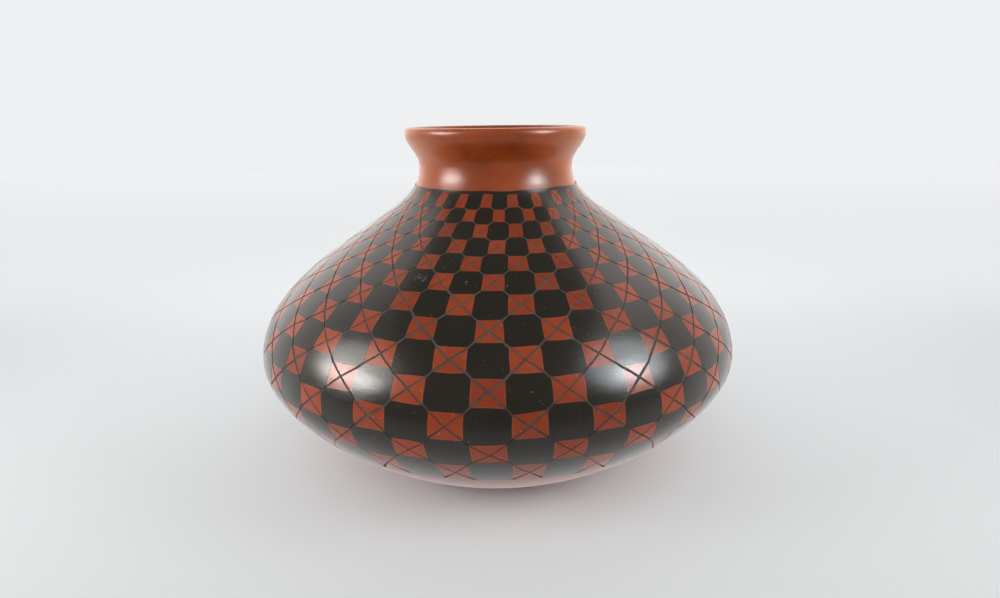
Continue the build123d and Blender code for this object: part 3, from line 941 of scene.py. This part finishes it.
def make_pale_floor():
    """Matte pale floor that keeps the jar's shadow, with a painted shadow round the foot where its glow is
    taken away, and reads a little paler far behind the jar.
    """
    material, tree, shader = start_material("pale_floor")
    shader.inputs["Base Color"].default_value = FLOOR_COLOUR
    shader.inputs["Roughness"].default_value = 0.9
    shader.inputs["Specular IOR Level"].default_value = 0.1
    path = add(tree, "ShaderNodeLightPath").outputs
    place = add(tree, "ShaderNodeTexCoord").outputs["Object"]
    back = add(tree, "ShaderNodeSeparateXYZ", {0: place}).outputs["Y"]
    away = add(tree, "ShaderNodeVectorMath", {0: place}, operation="LENGTH").outputs["Value"]
    depth = work_out(tree, "MAXIMUM", back, work_out(tree, "SUBTRACT", away, FLOOR_ROUND))
    beside = ease(tree, depth, FLOOR_BESIDE_FROM, FLOOR_BESIDE_TO, FLOOR_BESIDE_SHARE)
    behind = ease(tree, depth, FLOOR_BEHIND_FROM, FLOOR_BEHIND_TO, FLOOR_BEHIND_SHARE)
    lift = blend_colours(tree, work_out(tree, "ADD", beside, behind), FLOOR_NEAR, FLOOR_FAR)
    near = stretch(
        tree, back, FLOOR_MIRRORED_FROM, FLOOR_MIRRORED_TO, FLOOR_MIRRORED_FRONT, FLOOR_MIRRORED_NEAR
    )
    side_gain = FLOOR_MIRRORED_SIDE - FLOOR_MIRRORED_NEAR
    beyond = stretch(tree, back, FLOOR_MIRRORED_TO, 0.0, 0.0, side_gain)
    mirrored = work_out(tree, "ADD", near, beyond)
    colour = blend_colours(tree, path["Is Glossy Ray"], lift, mirrored)
    glow = add(tree, "ShaderNodeEmission", {"Color": colour, "Strength": 1.0})
    # Painted shadow: the floor's glow fades out near the jar's axis, so the floor round the foot darkens
    # beyond the jar's own cast shadow.
    clear = ease(tree, away, SHADOW_INNER, SHADOW_OUTER, FLOOR_SHARE)
    seen = work_out(tree, "MULTIPLY", path["Is Camera Ray"], clear)
    shares = {0: path["Is Glossy Ray"], 2: seen, 3: FLOOR_MIRRORED_SHARE}
    share = add(tree, "ShaderNodeMix", shares).outputs[0]
    both = add(tree, "ShaderNodeMixShader", {0: share, 1: shader.outputs[0], 2: glow.outputs[0]})
    tree.links.new(both.outputs[0], tree.nodes["Material Output"].inputs["Surface"])
    return material


def make_pale_paper():
    """Plain paper as the camera sees it; in the jar's polish it is bright at the sides and dim in front."""
    material, tree = start_material("pale_paper")[:2]
    camera_ray = add(tree, "ShaderNodeLightPath").outputs["Is Camera Ray"]
    place = surface_place(tree)
    right_side = stretch(tree, place["X"], PAPER_RIGHT_FROM, PAPER_RIGHT_TO, 0.0, 1.0)
    low_down = stretch(tree, place["Z"], PAPER_LOW_FROM, PAPER_LOW_TO, PAPER_LOW_SHADE, 0.0)
    low_shade = work_out(tree, "MULTIPLY", right_side, low_down)
    leaning = work_out(tree, "MULTIPLY_ADD", place["X"], PAPER_LEAN, place["Y"])
    depth = work_out(tree, "SUBTRACT", leaning, low_shade)
    mirrored = stretch(tree, depth, PAPER_FRONT_DEPTH, PAPER_SIDE_DEPTH, PAPER_FRONT, PAPER_SIDE)
    plain = work_out(tree, "SUBTRACT", 1.0, mirrored)
    level = work_out(tree, "MULTIPLY_ADD", plain, camera_ray, mirrored)
    colour = blend_colours(tree, camera_ray, PAPER_MIRRORED, PAPER_COLOUR)
    glow = add(tree, "ShaderNodeEmission", {"Color": colour, "Strength": level})
    tree.links.new(glow.outputs[0], tree.nodes["Material Output"].inputs["Surface"])
    return material


ring = [
    (RING_RADIUS * cos(2 * pi * step / RING_STEPS), RING_RADIUS * sin(2 * pi * step / RING_STEPS), height)
    for height in (0.0, RING_HEIGHT) for step in range(RING_STEPS)
]
ring_faces = []
for step in range(RING_STEPS):
    after = (step + 1) % RING_STEPS
    ring_faces.append((after, step, RING_STEPS + step, RING_STEPS + after))
pale_floor = stand_mesh("pale_floor", ring[:RING_STEPS], [range(RING_STEPS)], make_pale_floor())
paper_ring = stand_mesh("paper_ring", ring, ring_faces, make_pale_paper())
paper_ring.visible_diffuse = False
paper_ring.visible_shadow = False


def soft_lamp(name, place, width, height, power, colour, on_matte=True, in_polish=True, beam=180):
    """Area lamp aimed at the middle of the jar, for the matte, for the polish or for both."""
    data = bpy.data.lights.new(name, "AREA")
    data.shape = "ELLIPSE"
    data.size = width
    data.size_y = height
    data.energy = power
    data.color = colour
    data.spread = radians(beam)
    lamp = bpy.data.objects.new(name, data)
    lamp.location = place
    aim = Vector((0, 0, JAR_MIDDLE)) - Vector(place)
    lamp.rotation_euler = aim.to_track_quat("-Z", "Y").to_euler()
    lamp.visible_diffuse = on_matte
    lamp.visible_glossy = in_polish
    scene.collection.objects.link(lamp)


soft_lamp("left_lamp", (-0.360, -0.155, 0.215), 0.28, 0.28, 1.08, WARM, on_matte=False)
soft_lamp("left_lamp_middle", (-0.350, -0.165, 0.180), 0.20, 0.10, 0.80, WARM, on_matte=False)
soft_lamp("right_lamp", (0.325, -0.185, 0.245), 0.25, 0.29, 1.08, COOL, on_matte=False)
soft_lamp("right_lamp_middle", (0.322, -0.192, 0.210), 0.10, 0.10, 0.60, COOL, on_matte=False)
soft_lamp("left_light", (-0.40, -0.17, 0.185), 0.2, 0.2, 0.38, PLAIN, in_polish=False, beam=100)
soft_lamp("right_light", (0.36, -0.17, 0.215), 0.2, 0.2, 0.28, PLAIN, in_polish=False, beam=100)
soft_lamp("front_light", (0.0, -0.9, 1.1), 1.4, 1.2, 3.7, PLAIN, in_polish=False)

room = bpy.data.worlds.new("room")
room.use_nodes = True
room_tree = room.node_tree
mirror_ray = add(room_tree, "ShaderNodeLightPath").outputs["Is Glossy Ray"]
room_level = stretch(room_tree, mirror_ray, 0.0, 1.0, ROOM_LEVEL, ROOM_MIRRORED_LEVEL)
room_tree.nodes["Background"].inputs["Color"].default_value = ROOM_COLOUR
room_tree.links.new(room_level, room_tree.nodes["Background"].inputs["Strength"])
scene.world = room
scene.view_settings.view_transform = "Standard"


# The view: close in front of the jar and a little above its rim, looking down at it through a short
# lens, so that the belly looms and the neck draws back.
VIEW_PLACE = (0.001017, -0.25253, 0.12907)
VIEW_LENS, VIEW_SENSOR, VIEW_NEAREST = 23.6, 36, 0.01
VIEW_DIP, VIEW_ROLL = 15.70, -0.666
camera_data = bpy.data.cameras.new("front_view")
camera_data.lens = VIEW_LENS
camera_data.sensor_width = VIEW_SENSOR
camera_data.clip_start = VIEW_NEAREST
camera = bpy.data.objects.new("front_view", camera_data)
camera.location = VIEW_PLACE
tilt = Matrix.Rotation(radians(90 - VIEW_DIP), 4, "X") @ Matrix.Rotation(radians(VIEW_ROLL), 4, "Z")
camera.rotation_euler = tilt.to_euler()
scene.collection.objects.link(camera)
scene.camera = camera
